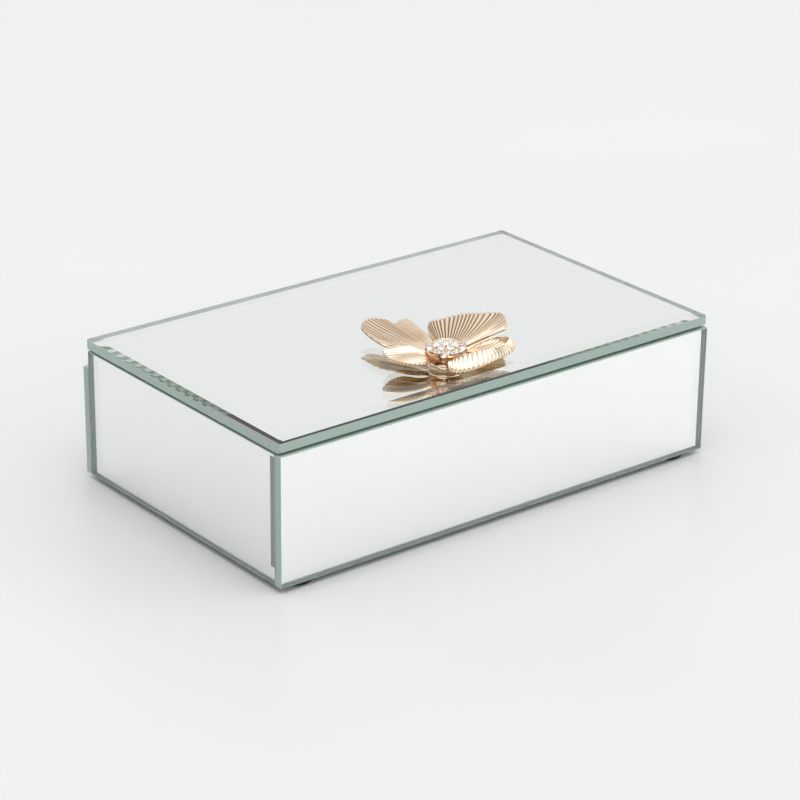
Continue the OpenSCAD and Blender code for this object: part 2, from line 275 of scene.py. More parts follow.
def plated_steel():
    """Stamped steel with a brass flash: warm, with drawing lines along the leaf."""
    made, tree, place = begin("brass_plated_steel")
    stretch = add(tree, "ShaderNodeMapping", {"Vector": place, "Scale": (0.06, 1.0, 1.0)})
    lines = add(tree, "ShaderNodeTexNoise", {"Vector": stretch, "Scale": 5200.0, "Detail": 2.0})
    stains = add(tree, "ShaderNodeTexNoise", {"Vector": place, "Scale": 240.0, "Detail": 3.0})
    return coat(made, {
        "Base Color": add(tree, "ShaderNodeMix", {
            0: stains, 6: linear("#C9B68A"), 7: linear("#E2D2A8")}, out=2, data_type="RGBA"),
        "Metallic": 1.0,
        "Roughness": add(tree, "ShaderNodeMapRange", (lines, 0.0, 1.0, 0.22, 0.42)),
        "Normal": add(tree, "ShaderNodeBump", {
            "Height": lines, "Distance": 0.01 * MM, "Strength": 0.6}),
    })


def gilt_casting():
    """Zinc alloy cast in a rubber mould, plated pale gold and dipped in lacquer.

    Brown is painted into the grooves as painted shade, random patches are paler where
    tumbling wore the plating, and faces turned downwards get a deeper gold as painted shade.
    """
    settings = bpy.context.scene.trinket_flower
    made, tree, place = begin("gilt_zinc_casting")
    groove = add(tree, "ShaderNodeAttribute", out="Fac", attribute_name="groove")
    # Painted shade: faces turned downwards are painted a deeper, darker gold.
    below = add(tree, "ShaderNodeAttribute", out="Fac", attribute_name="below")
    patches = add(tree, "ShaderNodeTexNoise", {"Vector": place, "Scale": 300.0, "Detail": 3.0})
    skin = add(tree, "ShaderNodeTexNoise", {"Vector": place, "Scale": 2400.0, "Detail": 2.0})
    # Painted shade: the deeper a groove, the more its gilt turns dark brown.
    groove_shade_amount = add(tree, "ShaderNodeMapRange", (groove, 0.15, 0.9, 0.0, 0.85))
    colour = tuple(settings.gilt)
    for factor, over in ((patches, settings.gilt_worn), (below, settings.underside_shade),
                         (groove_shade_amount, settings.groove_shade)):
        colour = add(tree, "ShaderNodeMix", {0: factor, 6: colour, 7: tuple(over)}, out=2,
                     data_type="RGBA")
    return coat(made, {
        "Base Color": colour,
        "Metallic": 1.0,
        "Roughness": add(tree, "ShaderNodeMapRange", (patches, 0.0, 1.0, 0.12, 0.22)),
        "Normal": add(tree, "ShaderNodeBump", {
            "Height": skin, "Distance": 0.012 * MM, "Strength": 0.6}),
    })


def paper_floor():
    """Matt art paper under soft light: pale, with a trace of tooth."""
    settings = bpy.context.scene.trinket_stage
    made, tree, place = begin("art_paper")
    tooth = add(tree, "ShaderNodeTexNoise", {"Vector": place, "Scale": 6.0, "Detail": 2.0})
    level = add(tree, "ShaderNodeMapRange", (tooth, 0.3, 0.7, 0.0, 1.0))
    return coat(made, {
        "Base Color": add(tree, "ShaderNodeMix", {
            0: level, 6: tuple(settings.floor), 7: tuple(settings.floor_light)}, out=2,
            data_type="RGBA"),
        "Roughness": 0.36,
        "IOR": 1.45,
    })


MADE = {}


def material(maker):
    """The material that a maker function makes, made once."""
    if maker.__name__ not in MADE:
        MADE[maker.__name__] = maker()
    return MADE[maker.__name__]


# ---- Mesh helpers ----

def plain_mesh(bm, name):
    """Turns a bmesh into a mesh and frees it."""
    mesh = bpy.data.meshes.new(name)
    bm.to_mesh(mesh)
    bm.free()
    return mesh


def merge(bm, part):
    """Adds one bmesh to another and frees it."""
    mesh = plain_mesh(part, "part")
    bm.from_mesh(mesh)
    bpy.data.meshes.remove(mesh)


def piece_from(bm, name, materials, body, smooth=False):
    """Turns a bmesh into a piece, with its faces turned outwards."""
    bmesh.ops.recalc_face_normals(bm, faces=bm.faces)
    return piece_of(plain_mesh(bm, name), name, materials, body, smooth)


def piece_of(mesh, name, materials, body, smooth=False):
    """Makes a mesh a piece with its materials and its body."""
    piece = bpy.data.objects.new(name, mesh)
    bpy.context.scene.collection.objects.link(piece)
    for each in materials:
        mesh.materials.append(each)
    mesh.polygons.foreach_set("use_smooth", [smooth] * len(mesh.polygons))
    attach(piece, body)
    return piece


def plate(lo, hi):
    """A bmesh box between two corners."""
    bm = bmesh.new()
    bmesh.ops.create_cube(bm, size=1.0)
    size = Vector(hi) - Vector(lo)
    middle = (Vector(hi) + Vector(lo)) / 2
    bmesh.ops.scale(bm, vec=size, verts=bm.verts)
    bmesh.ops.translate(bm, vec=middle, verts=bm.verts)
    return bm


def chamfer(bm, edges, width, segments=1):
    """Cuts edges back by a width: flat, or round in several segments."""
    bmesh.ops.bevel(bm, geom=list(edges), offset=width, offset_type="OFFSET",
                    segments=segments, profile=0.5, affect="EDGES", clamp_overlap=True)


def cut(bm, point, normal, keep_both=True):
    """Cuts the solid along a plane. Without keep_both, what is beyond the plane goes."""
    geometry = list(bm.verts) + list(bm.edges) + list(bm.faces)
    result = bmesh.ops.bisect_plane(bm, geom=geometry, dist=1e-8, plane_co=point,
                                    plane_no=normal, clear_outer=not keep_both)
    if not keep_both:
        rim = [g for g in result["geom_cut"] if isinstance(g, bmesh.types.BMEdge)]
        bmesh.ops.contextual_create(bm, geom=rim)


def lathe(profile, steps=96):
    """A closed turned solid from (radius, height) pairs, from axis to axis."""
    bm = bmesh.new()
    rings = []
    for radius, height in profile:
        if radius < 1e-9:
            rings.append([bm.verts.new((0.0, 0.0, height))])
        else:
            rings.append([
                bm.verts.new((radius * math.cos(2 * math.pi * i / steps),
                              radius * math.sin(2 * math.pi * i / steps), height))
                for i in range(steps)])
    for low, high in zip(rings, rings[1:]):
        for i in range(steps):
            j = (i + 1) % steps
            if len(low) == 1:
                bm.faces.new((low[0], high[i], high[j]))
            elif len(high) == 1:
                bm.faces.new((low[i], low[j], high[0]))
            else:
                bm.faces.new((low[i], low[j], high[j], high[i]))
    return bm


def refinish(names, finish):
    """Gives CAD nodes a better material in the slots they already have."""
    for name in names:
        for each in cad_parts[name].material_slots:
            each.material = finish


def from_tree(name, tree, values, body, smooth=False):
    """Runs a Geometry Nodes tree on an empty host and keeps its plain mesh as a piece."""
    host = bpy.data.objects.new(name + "_host", bpy.data.meshes.new(name + "_host"))
    bpy.context.scene.collection.objects.link(host)
    modifier = host.modifiers.new("tree", "NODES")
    modifier.node_group = tree
    sockets = {item.name: item.identifier for item in tree.interface.items_tree
               if item.item_type == "SOCKET" and item.in_out == "INPUT"}
    for key, value in values.items():
        modifier[sockets[key]] = value
    evaluated = host.evaluated_get(bpy.context.evaluated_depsgraph_get())
    mesh = bpy.data.meshes.new_from_object(evaluated)
    mesh.name = name
    bpy.data.objects.remove(host)
    if not len(mesh.polygons):
        raise RuntimeError(name + " came out empty")
    return piece_of(mesh, name, (), body, smooth)


def new_tree(name, inputs):
    """A Geometry Nodes tree with named inputs: (name, socket type, default)."""
    tree = bpy.data.node_groups.new(name, "GeometryNodeTree")
    for label, kind, default in inputs:
        socket = tree.interface.new_socket(label, in_out="INPUT", socket_type=kind)
        if default is not None:
            socket.default_value = default
    tree.interface.new_socket("Geometry", in_out="OUTPUT", socket_type="NodeSocketGeometry")
    return tree, tree.nodes.new("NodeGroupInput").outputs


def spun_and_finished(tree, instances, given):
    """Gives each instance a chance turn, makes them all real, and sets their material."""
    chance = add(tree, "FunctionNodeRandomValue", {
        2: 0.0, 3: 2 * math.pi, "Seed": given["Seed"]}, out=1, data_type="FLOAT")
    turned = add(tree, "GeometryNodeRotateInstances", {
        "Instances": instances, "Rotation": add(tree, "ShaderNodeCombineXYZ", {"Z": chance}),
        "Local Space": True})
    real = add(tree, "GeometryNodeRealizeInstances", {"Geometry": turned})
    return add(tree, "GeometryNodeSetMaterial", {"Geometry": real, "Material": given["Finish"]})


# ---- Settings ----

def colour(name, description, default):
    """A colour that the user can change."""
    return bpy.props.FloatVectorProperty(
        name=name, description=description, subtype="COLOR", size=4,
        default=linear(default) if isinstance(default, str) else default)


def length(name, description, default):
    """A length that the user can change, in metres."""
    return bpy.props.FloatProperty(name=name, description=description, default=default,
                                   subtype="DISTANCE", unit="LENGTH")


def level(name, description, default):
    """A strength that the user can change, from nothing up."""
    return bpy.props.FloatProperty(name=name, description=description, default=default,
                                   min=0.0)


class GlassSettings(bpy.types.PropertyGroup):
    iron_tint: colour("Glass tint", "Colour that a long path through the glass tends to",
                      (0.69, 0.795, 0.745, 1.0))
    iron_density: level("Tint strength", "How fast the glass takes on its tint, per metre", 20.0)
    arris: length("Arris", "Width of the ground edges of the wall mirrors", 0.3 * MM)
    band: length("Sealed band", "Width of the sealed band at a side mirror's front end", 4.2 * MM)
    # Painted shade: the grey band along each wall mirror's foot stands in for the shaded gap under
    # the box.
    shaded_foot_band: length("Foot band", "Height of the sealed band along a wall mirror's foot", 0.8 * MM)
    bevel: length("Bevel", "Width of the bevel round the lid", 6.5 * MM)
    rim: length("Rim", "Height of the lid's rim below the bevel", 3.5 * MM)
    corner: length("Corner radius", "Radius of the lid's corners", 1.3 * MM)


class FabricSettings(bpy.types.PropertyGroup):
    pile_deep: colour("Deep pile", "Colour of the velvet seen end on", "#1D1C22")
    pile_light: colour("Laid pile", "Colour of the velvet where its pile lies over",
                       "#3A3942")
    crown: length("Crown", "How much higher a pad is in its middle than at its edge", 0.5 * MM)


class FlowerSettings(bpy.types.PropertyGroup):
    turn: bpy.props.FloatProperty(
        name="Turn", description="Turn of the flower about its stud",
        default=math.radians(-38.5), subtype="ANGLE", unit="ROTATION")
    thickness: length("Petal thickness", "Thickness of the cast petals", 1.0 * MM)
    gilt: colour("Gilt", "Colour of the plating", "#F2D7B4")
    gilt_worn: colour("Tumbled gilt", "Colour of the plating on its brightest patches",
                      "#FBE9DA")
    # Painted shade: the darker gold painted on faces turned downwards.
    underside_shade: colour("Underside gilt", "Colour of the plating under the petals",
                       "#A98347")
    # Painted shade: the dark brown painted into the rib grooves.
    groove_shade: colour("Groove lacquer", "Colour of the lacquer lying in the grooves",
                           "#4A3218")


class StageSettings(bpy.types.PropertyGroup):
    floor: colour("Floor", "Colour of the floor", "#D5D5D5")
    floor_light: colour("Floor, light", "Colour of the floor's paler parts", "#D7D7D7")
    backdrop: level("Backdrop", "Brightness of the backdrop", 0.91)
    room: level("Room", "Brightness of the camera's side of the room", 0.85)
    ceiling: level("Ceiling", "Brightness that the ceiling adds", 2.7)
    glow: level("Low glow", "Brightness that the low light at the front right adds", 1.3)


# ---- Stage ----

VIEW_YAW = math.radians(38.51)
VIEW_PITCH = math.radians(23.0)
VIEW_ROLL = math.radians(0.61)
VIEW_DISTANCE = 1.070
VIEW_LENS = 127.6


class TRINKET_OT_stage(bpy.types.Operator):
    """Lay the floor, set the lights and stand the camera"""
    bl_idname = "trinket.stage"
    bl_label = "Stage"

    def execute(self, context):
        scene = context.scene
        forward = Vector((math.sin(VIEW_YAW) * math.cos(VIEW_PITCH),
                          math.cos(VIEW_YAW) * math.cos(VIEW_PITCH), -math.sin(VIEW_PITCH)))
        level = Vector((math.cos(VIEW_YAW), -math.sin(VIEW_YAW), 0.0))
        upright = level.cross(forward)
        right = level * math.cos(VIEW_ROLL) + upright * math.sin(VIEW_ROLL)
        up = upright * math.cos(VIEW_ROLL) - level * math.sin(VIEW_ROLL)
        lo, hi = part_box("front_mirror")
        target = Vector((0.0, 0.0, (lo.z + hi.z) / 2))
        place = target - forward * VIEW_DISTANCE + level * 0.7 * MM - upright * 0.3 * MM
        data = bpy.data.cameras.new("camera")
        data.lens = VIEW_LENS
        data.sensor_width = 36.0
        data.clip_start = 0.01
        data.clip_end = 100.0
        camera = bpy.data.objects.new("camera", data)
        turn = Matrix((right, up, -forward)).transposed()
        camera.matrix_world = Matrix.Translation(place) @ turn.to_4x4()
        scene.collection.objects.link(camera)
        scene.camera = camera

        bm = bmesh.new()
        bmesh.ops.create_circle(bm, cap_ends=True, segments=96, radius=12.0)
        bmesh.ops.recalc_face_normals(bm, faces=bm.faces)
        floor = bpy.data.objects.new("floor", plain_mesh(bm, "floor"))
        floor.data.materials.append(material(paper_floor))
        scene.collection.objects.link(floor)

        self.light_room(scene)
        # A small lamp on each side for the sparks on the flower.
        self.softbox("right_lamp", (0.9, -0.6, 0.9), (0.22, 0.22), 0.7, "#FFFFFF")
        self.softbox("left_lamp", (-0.8, 0.1, 0.8), (0.22, 0.22), 0.5, "#FFFFFF")
        scene.view_settings.view_transform = "Standard"
        scene.view_settings.look = "None"
        cycles = scene.cycles
        cycles.max_bounces = 40
        cycles.glossy_bounces = 32
        cycles.transmission_bounces = 40
        cycles.diffuse_bounces = 4
        cycles.transparent_max_bounces = 8
        cycles.volume_bounces = 0
        cycles.use_denoising = True
        return {"FINISHED"}

    def softbox(self, name, place, size, watts, colour):
        data = bpy.data.lights.new(name, "AREA")
        data.shape = "RECTANGLE"
        data.size, data.size_y = size
        data.energy = watts
        data.color = linear(colour)[:3]
        light = bpy.data.objects.new(name, data)
        aim = Vector((0.0, 0.0, 0.03)) - Vector(place)
        turn = aim.to_track_quat("-Z", "Y").to_matrix().to_4x4()
        light.matrix_world = Matrix.Translation(place) @ turn
        bpy.context.scene.collection.objects.link(light)

    def light_room(self, scene):
        """A white room: a bright backdrop, softer walls, and a dim camera side."""
        settings = scene.trinket_stage
        world = bpy.data.worlds.new("white_room")
        world.use_nodes = True
        tree = world.node_tree
        tree.nodes.clear()
        place = add(tree, "ShaderNodeTexCoord", out="Generated")

        def level_towards(way, start, stop, low, high):
            """A level that goes from low to high as a direction turns towards a way."""
            nearness = add(tree, "ShaderNodeVectorMath", (place, Vector(way).normalized()),
                           out="Value", operation="DOT_PRODUCT")
            return add(tree, "ShaderNodeMapRange", (nearness, start, stop, low, high))

        away = Vector((math.sin(VIEW_YAW), math.cos(VIEW_YAW), 0.0))
        level = level_towards(away, -0.35, 0.35, settings.room, settings.backdrop)
        top = level_towards((-0.1, -0.22, 1), 0.88, 0.95, 0.0, settings.ceiling)
        glow = level_towards((away.x, -away.y, 0.22), 0.86, 0.98, 0.0, settings.glow)
        dim = level_towards((-away.x, -away.y, 0.6), 0.84, 0.95, 1.0, 0.4)
        for operation, other in (("ADD", top), ("ADD", glow), ("MULTIPLY", dim)):
            level = add(tree, "ShaderNodeMath", (level, other), operation=operation)
        sky = add(tree, "ShaderNodeBackground", {"Color": linear("#FDFEFE"), "Strength": level})
        add(tree, "ShaderNodeOutputWorld", {"Surface": sky})
        scene.world = world


# ---- Glass ----

def wall_mirror(name, inward, sealed=None):
    """A wall mirror: a slab of glass with ground edges and silver on its inner face.

    The silver stops short of the foot, and the sealer's grey there is painted shade,
    standing in for the shaded gap under the box. A side mirror is also sealed at its
    front end, up to the place given.
    """
    settings = bpy.context.scene.trinket_glass
    lo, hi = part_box(name)
    axis = 0 if abs(inward.x) > 0.5 else 1
    if inward[axis] > 0:
        hi[axis] -= FILM_GAP
    else:
        lo[axis] += FILM_GAP
    bm = plate(lo, hi)
    chamfer(bm, bm.edges, settings.arris)
    levels = (lo.z + 6.0 * MM, hi.z - 2.0 * MM)
    # Below this height the glass gets the sealer's grey as painted shade for the gap under the box.
    foot = lo.z + settings.shaded_foot_band
    cut(bm, (0, 0, foot), (0, 0, 1))
    if sealed is not None:
        cut(bm, (0, sealed, 0), (0, 1, 0))
        for level in levels:
            cut(bm, (0, 0, level), (0, 0, 1))
    bm.normal_update()
    for face in bm.faces:
        facing = face.normal.dot(inward)
        if facing < NEARLY:
            face.material_index = CLEAR if facing < -NEARLY else GROUND
            continue
        middle = face.calc_center_median()
        in_band = sealed is not None and middle.y < sealed and levels[0] < middle.z < levels[1]
        # The foot band is painted shade; the band at a side mirror's front end is sealer.
        face.material_index = SEALED if in_band or middle.z < foot else SILVERED
    mirror = piece_from(bm, name + "_glass", [material(float_glass), material(silver_film),
                                              material(sealer_and_foot_shade), material(ground_edge)],
                        CASE)
    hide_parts(name)


class TRINKET_OT_wall_mirrors(bpy.types.Operator):
    """Build the four wall mirrors and the sealer in their seams"""
    bl_idname = "trinket.wall_mirrors"
    bl_label = "Wall mirrors"

    def execute(self, context):
        settings = context.scene.trinket_glass
        wall_mirror("front_mirror", Vector((0, 1, 0)))
        wall_mirror("back_mirror", Vector((0, -1, 0)))
        for name, side in (("left_mirror", 1), ("right_mirror", -1)):
            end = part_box(name)[0].y + settings.band
            wall_mirror(name, Vector((side, 0, 0)), end)
        self.seams()
        return {"FINISHED"}

    def seams(self):
        bm = bmesh.new()
        for name, side in (("left_mirror", 1), ("right_mirror", -1)):
            lo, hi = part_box(name)
            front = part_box("front_mirror")[1].y
            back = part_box("back_mirror")[0].y
            outer = lo.x if side > 0 else hi.x
            for low_y, high_y in ((front, lo.y), (hi.y, back)):
                xs = sorted((outer + side * 0.35 * MM, outer + side * 2.8 * MM))
                strip = plate((xs[0], low_y + 0.01 * MM, lo.z + 0.4 * MM),
                              (xs[1], high_y - 0.01 * MM, hi.z - 7.4 * MM if low_y > 0
                               else hi.z - 0.4 * MM))
                chamfer(strip, strip.edges, 0.06 * MM)
                merge(bm, strip)
        piece_from(bm, "seam_sealer", [material(sealer_and_foot_shade)], CASE)


class TRINKET_OT_lid_mirror(bpy.types.Operator):
    """Build the bevelled lid mirror and the lacquer on its back"""
    bl_idname = "trinket.lid_mirror"
    bl_label = "Lid mirror"

    def execute(self, context):
        settings = context.scene.trinket_glass
        lo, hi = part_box("lid_mirror")
        lo.z += FILM_GAP
        bm = plate(lo, hi)
        upright = [e for e in bm.edges
                   if abs(e.verts[0].co.z - e.verts[1].co.z) > 1 * MM]
        chamfer(bm, upright, settings.corner, 5)
        rim_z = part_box("lid_mirror")[0].z + settings.rim
        rise = hi.z - rim_z
        for out in (Vector((1, 0, 0)), Vector((-1, 0, 0)), Vector((0, 1, 0)), Vector((0, -1, 0))):
            edge = Vector((hi.x if out.x > 0 else lo.x, hi.y if out.y > 0 else lo.y, rim_z))
            normal = out * rise + Vector((0, 0, settings.bevel))
            cut(bm, edge, normal.normalized(), keep_both=False)
        # The left edge was ground harder: a wide facet, widest at the front.
        facet = Vector((-1.0, -0.006, 1.0)).normalized()
        cut(bm, (lo.x, lo.y, rim_z - 0.8 * MM), facet, keep_both=False)
        bm.normal_update()
        low = [e for e in bm.edges
               if max(v.co.z for v in e.verts) < lo.z + 1e-6]
        high = [e for e in bm.edges if e.is_manifold and self.on_rim(e)]
        chamfer(bm, low, 0.12 * MM)
        chamfer(bm, high, 0.14 * MM)
        bm.normal_update()
        # Along most of that edge the wheel skipped, and left every other stretch clear.
        start = lo.y + 0.33 * (hi.y - lo.y)
        stop = lo.y + 0.91 * (hi.y - lo.y)
        count = int((stop - start) / SKIP)
        lean = 0.9
        for i in range(count + 1):
            cut(bm, (lo.x, start + i * SKIP, rim_z), Vector((0, 1, lean)).normalized())
        bm.normal_update()
        for face in bm.faces:
            middle = face.calc_center_median()
            if face.normal.z < -NEARLY:
                face.material_index = SILVERED
            elif face.normal.dot(facet) > 0.998:
                step = (middle.y + lean * (middle.z - rim_z) - start) / SKIP
                skipped = 0 < step < count and int(step) % 2 == 1
                face.material_index = CLEAR if skipped else SEALED
            elif face.normal.z < 0.9:
                face.material_index = GROUND
        lid = piece_from(bm, "lid_glass", [material(float_glass), material(silver_film),
                                           material(ground_arris), material(ground_edge)],
                         LID)
        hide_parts("lid_mirror")

        inset = 0.35 * MM
        top = lo.z - FILM_GAP / 2
        paint = plate((lo.x + inset, lo.y + inset, top - PAINT_T),
                      (hi.x - inset, hi.y - inset, top))
        upright = [e for e in paint.edges
                   if abs(e.verts[0].co.z - e.verts[1].co.z) > PAINT_T / 2]
        chamfer(paint, upright, settings.corner, 5)
        piece_from(paint, "lid_backing", [material(backing_paint)], LID)
        return {"FINISHED"}

    def on_rim(self, edge):
        """An edge between the upright rim and a slope above it."""
        first, second = (face.normal for face in edge.link_faces)
        low, high = sorted((first.z, second.z))
        return abs(low) < 0.05 and high > 0.3


# ---- Liner ----

class TRINKET_OT_boards(bpy.types.Operator):
    """Finish the boards behind the mirrors and under the lid"""
    bl_idname = "trinket.boards"
    bl_label = "Boards"

    def execute(self, context):
        refinish(("base_board", "front_board", "back_board", "left_board", "right_board",
                  "lid_board"), material(wrapped_board))
        return {"FINISHED"}


def ruffle(point, seed):
    """A smooth random number for soft, uneven cloth."""
    return noise.noise_vector(Vector(point) * 160.0 + Vector((seed, seed * 0.7, 0.0))).x


def velvet_wall(name, stretches, along, across, floor_z, top_z, cap_z, depth, fold, seed):
    """One wall's velvet: a sheet up the board and a rounded fold over its top.

    stretches are (from, to, capped) along the wall. across is the outward direction,
    depth the distance of the velvet's inner face, and fold how far it folds outwards.
    """
    bm = bmesh.new()
    sections = []
    for start, stop, capped in stretches:
        steps = max(2, int((stop - start) / (1.5 * MM)))
        for i in range(steps + 1):
            sections.append((start + (stop - start) * i / steps, capped))
    rings = []
    for place, capped in sections:
        top = cap_z if capped else top_z - 0.05 * MM
        outer = fold if capped else VELVET_T
        radius = min(0.75 * MM, outer / 2)
        profile = [(VELVET_T, floor_z), (0.12 * MM, floor_z)]
        for i in range(13):
            profile.append((0.0, floor_z + 0.3 * MM + (top_z - floor_z - 2.3 * MM) * i / 12))
        for i in range(1, 7):
            a = math.pi / 2 * i / 6
            profile.append((radius * (1 - math.cos(a)), top - radius + radius * math.sin(a)))
        for i in range(1, 5):
            a = math.pi / 2 * i / 4
            reach = outer - radius * 0.5
            profile.append((reach + radius * 0.5 * math.sin(a),
                            top - radius * 0.5 * (1 - math.cos(a))))
        profile.append((outer, min(top_z, top - radius * 0.5)))
        profile.append((VELVET_T, min(top_z, top - radius * 0.5)))
        ring = []
        for inward, height in profile:
            spot = along * place + across * (depth + inward) + Vector((0, 0, height))
            if inward < 0.2 * MM and height > floor_z + 1 * MM and height < top - radius:
                spot += across * abs(ruffle(spot, seed)) * 0.12 * MM
            ring.append(bm.verts.new(spot))
        rings.append(ring)
    size = len(rings[0])
    for first, second in zip(rings, rings[1:]):
        for i in range(size):
            j = (i + 1) % size
            bm.faces.new((first[i], first[j], second[j], second[i]))
    bm.faces.new(rings[0])
    bm.faces.new(list(reversed(rings[-1])))
    bmesh.ops.dissolve_degenerate(bm, dist=1e-7, edges=bm.edges)
    cloth = piece_from(bm, name + "_velvet", [material(velvet)], CASE, smooth=True)
    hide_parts(name)
    return cloth


class TRINKET_OT_linings(bpy.types.Operator):
    """Line the walls with velvet folded over their tops"""
    bl_idname = "trinket.linings"
    bl_label = "Velvet linings"

    def execute(self, context):
        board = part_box("front_board")
        cap_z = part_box("front_lining")[1].z
        floor_z = board[0].z
        top_z = board[1].z
        walls = (("front", Vector((0, -1, 0))), ("back", Vector((0, 1, 0))),
                 ("left", Vector((-1, 0, 0))), ("right", Vector((1, 0, 0))))
        for seed, (side, across) in enumerate(walls):
            lo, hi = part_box(side + "_lining")
            along = Vector((abs(across.y), abs(across.x), 0))
            axis = 0 if along.x else 1
            face = min(abs(lo[1 - axis]), abs(hi[1 - axis]))
            fold = max(abs(lo[1 - axis]), abs(hi[1 - axis])) - face
            first, last = lo[axis], hi[axis]
            stretches = [(first, last, True)]
            if side == "back":
                stretches = self.notched(first, last)
            velvet_wall(side + "_lining", stretches, along, across, floor_z, top_z, cap_z,
                        face, fold, 3.1 * (seed + 1))
        return {"FINISHED"}

    def notched(self, first, last):
        """The back wall's stretches, with a notch in the fold at each hinge."""
        gaps = []
        for name in ("left_hinge_lid_leaf", "right_hinge_lid_leaf"):
            lo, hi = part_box(name)
            gaps.append((lo.x - 0.5 * MM, hi.x + 0.5 * MM))
        (a, b), (c, d) = gaps
        return [(first, a, True), (a, b, False), (b, c, True), (c, d, False), (d, last, True)]


def soft_pad(name, up, seed):
    """A thin board padded with foam and wrapped in velvet: a crowned, round-edged pad."""
    crown = bpy.context.scene.trinket_fabric.crown
    lo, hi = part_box(name)
    height = hi.z - lo.z
    half_x, half_y = (hi.x - lo.x) / 2, (hi.y - lo.y) / 2
    round_edge = min(1.5 * MM, 0.6 * height)
    ripple = 0.14 * MM
    steps_x, steps_y = 150, 90

    def spread(steps, half):
        """Places across the pad, closer together at its round edges."""
        ends = [half - round_edge * (1 - math.sin(math.pi / 2 * i / 8)) for i in range(9)]
        inner = np.linspace(-ends[0], ends[0], steps - 16)
        return [-e for e in reversed(ends[1:])] + list(inner) + ends[1:]

    def pull(along, out):
        """How far the wrapped cloth draws a side in, most at the side's middle."""
        return 0.5 * MM * math.sin(math.pi * (along + 1) / 2) ** 2 * abs(out) ** 6

    def fullness(from_edge):
        """The round edge's height, as a part of its radius."""
        inside = min(1.0, from_edge / round_edge)
        return math.sqrt(max(0.0, 1 - (1 - inside) ** 2))

    xs, ys = spread(steps_x, half_x), spread(steps_y, half_y)
    bm = bmesh.new()
    top, base = [], []
    mid_y = (lo.y + hi.y) / 2
    for x in xs:
        top_row, base_row = [], []
        for y in ys:
            px = x - math.copysign(pull(y / half_y, x / half_x), x)
            py = y - math.copysign(pull(x / half_x, y / half_y), y)
            drop = round_edge * (2 - fullness(half_x - abs(x)) - fullness(half_y - abs(y)))
            bulge = (1 - (x / half_x) ** 4) * (1 - (y / half_y) ** 4)
            level = height - crown * (1 - bulge) - min(drop, round_edge * 1.15)
            wave = noise.noise(Vector((x * 28 + seed, y * 28, seed))) * ripple * bulge
            z = max(0.25 * MM, min(height, level + wave - ripple * bulge))
            top_row.append((px, py + mid_y, z))
            base_row.append((px, py + mid_y, 0.0))
        top.append(top_row)
        base.append(base_row)

    def spot(p):
        return (p[0], p[1], lo.z + p[2] if up else hi.z - p[2])

    top = [[bm.verts.new(spot(p)) for p in row] for row in top]
    base = [[bm.verts.new(spot(p)) for p in row] for row in base]
    nx, ny = len(top) - 1, len(top[0]) - 1
    for i in range(nx):
        for j in range(ny):
            bm.faces.new((top[i][j], top[i + 1][j], top[i + 1][j + 1], top[i][j + 1]))
            bm.faces.new((base[i][j], base[i][j + 1], base[i + 1][j + 1], base[i + 1][j]))
    border = ([(i, 0) for i in range(nx)] + [(nx, j) for j in range(ny)]
              + [(i, ny) for i in range(nx, 0, -1)] + [(0, j) for j in range(ny, 0, -1)])
    for k, (i, j) in enumerate(border):
        m, n = border[(k + 1) % len(border)]
        bm.faces.new((top[i][j], top[m][n], base[m][n], base[i][j]))
    return bm


class TRINKET_OT_pads(bpy.types.Operator):
    """Lay the velvet pad on the floor and the one under the lid"""
    bl_idname = "trinket.pads"
    bl_label = "Velvet pads"

    def execute(self, context):
        for name, up, body in (("floor_pad", True, CASE), ("lid_pad", False, LID)):
            pad = piece_from(soft_pad(name, up, 5.0 if up else 11.0), name + "_velvet",
                             [material(velvet)], body, smooth=True)
            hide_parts(name)
        return {"FINISHED"}


# ---- Hinges and feet ----

SCREW_HEAD_R = 1.6 * MM


def screw_template():
    """A countersunk screw with a cross recess, its head's face at z = 0."""
    shank_r, head_t, tip = 0.8 * MM, 0.6 * MM, -2.4 * MM
    bm = lathe([(0.0, tip), (shank_r * 0.5, tip + 0.1 * MM), (shank_r, tip + 0.6 * MM),
                (shank_r, -head_t), (SCREW_HEAD_R * 0.98, -0.06 * MM),
                (SCREW_HEAD_R * 0.93, -0.01 * MM), (0.0, -0.01 * MM)], 32)
    screw = bpy.data.objects.new("screw_template", plain_mesh(bm, "screw_template"))
    cross = bmesh.new()
    for turn in (0, 90):
        slot_bm = plate((-0.85 * MM, -0.17 * MM, -0.42 * MM), (0.85 * MM, 0.17 * MM, 0.2 * MM))
        bmesh.ops.rotate(slot_bm, verts=slot_bm.verts, cent=(0, 0, 0),
                         matrix=Matrix.Rotation(math.radians(turn), 3, "Z"))
        merge(cross, slot_bm)
    cutter = bpy.data.objects.new("recess", plain_mesh(cross, "recess"))
    for each in (screw, cutter):
        bpy.context.scene.collection.objects.link(each)
    recess = screw.modifiers.new("recess", "BOOLEAN")
    recess.operation = "DIFFERENCE"
    recess.solver = "EXACT"
    recess.use_self = True
    recess.object = cutter
    evaluated = screw.evaluated_get(bpy.context.evaluated_depsgraph_get())
    done = bpy.data.meshes.new_from_object(evaluated)
    bpy.data.objects.remove(cutter)
    bpy.data.objects.remove(screw)
    return bpy.data.objects.new("screw", done)


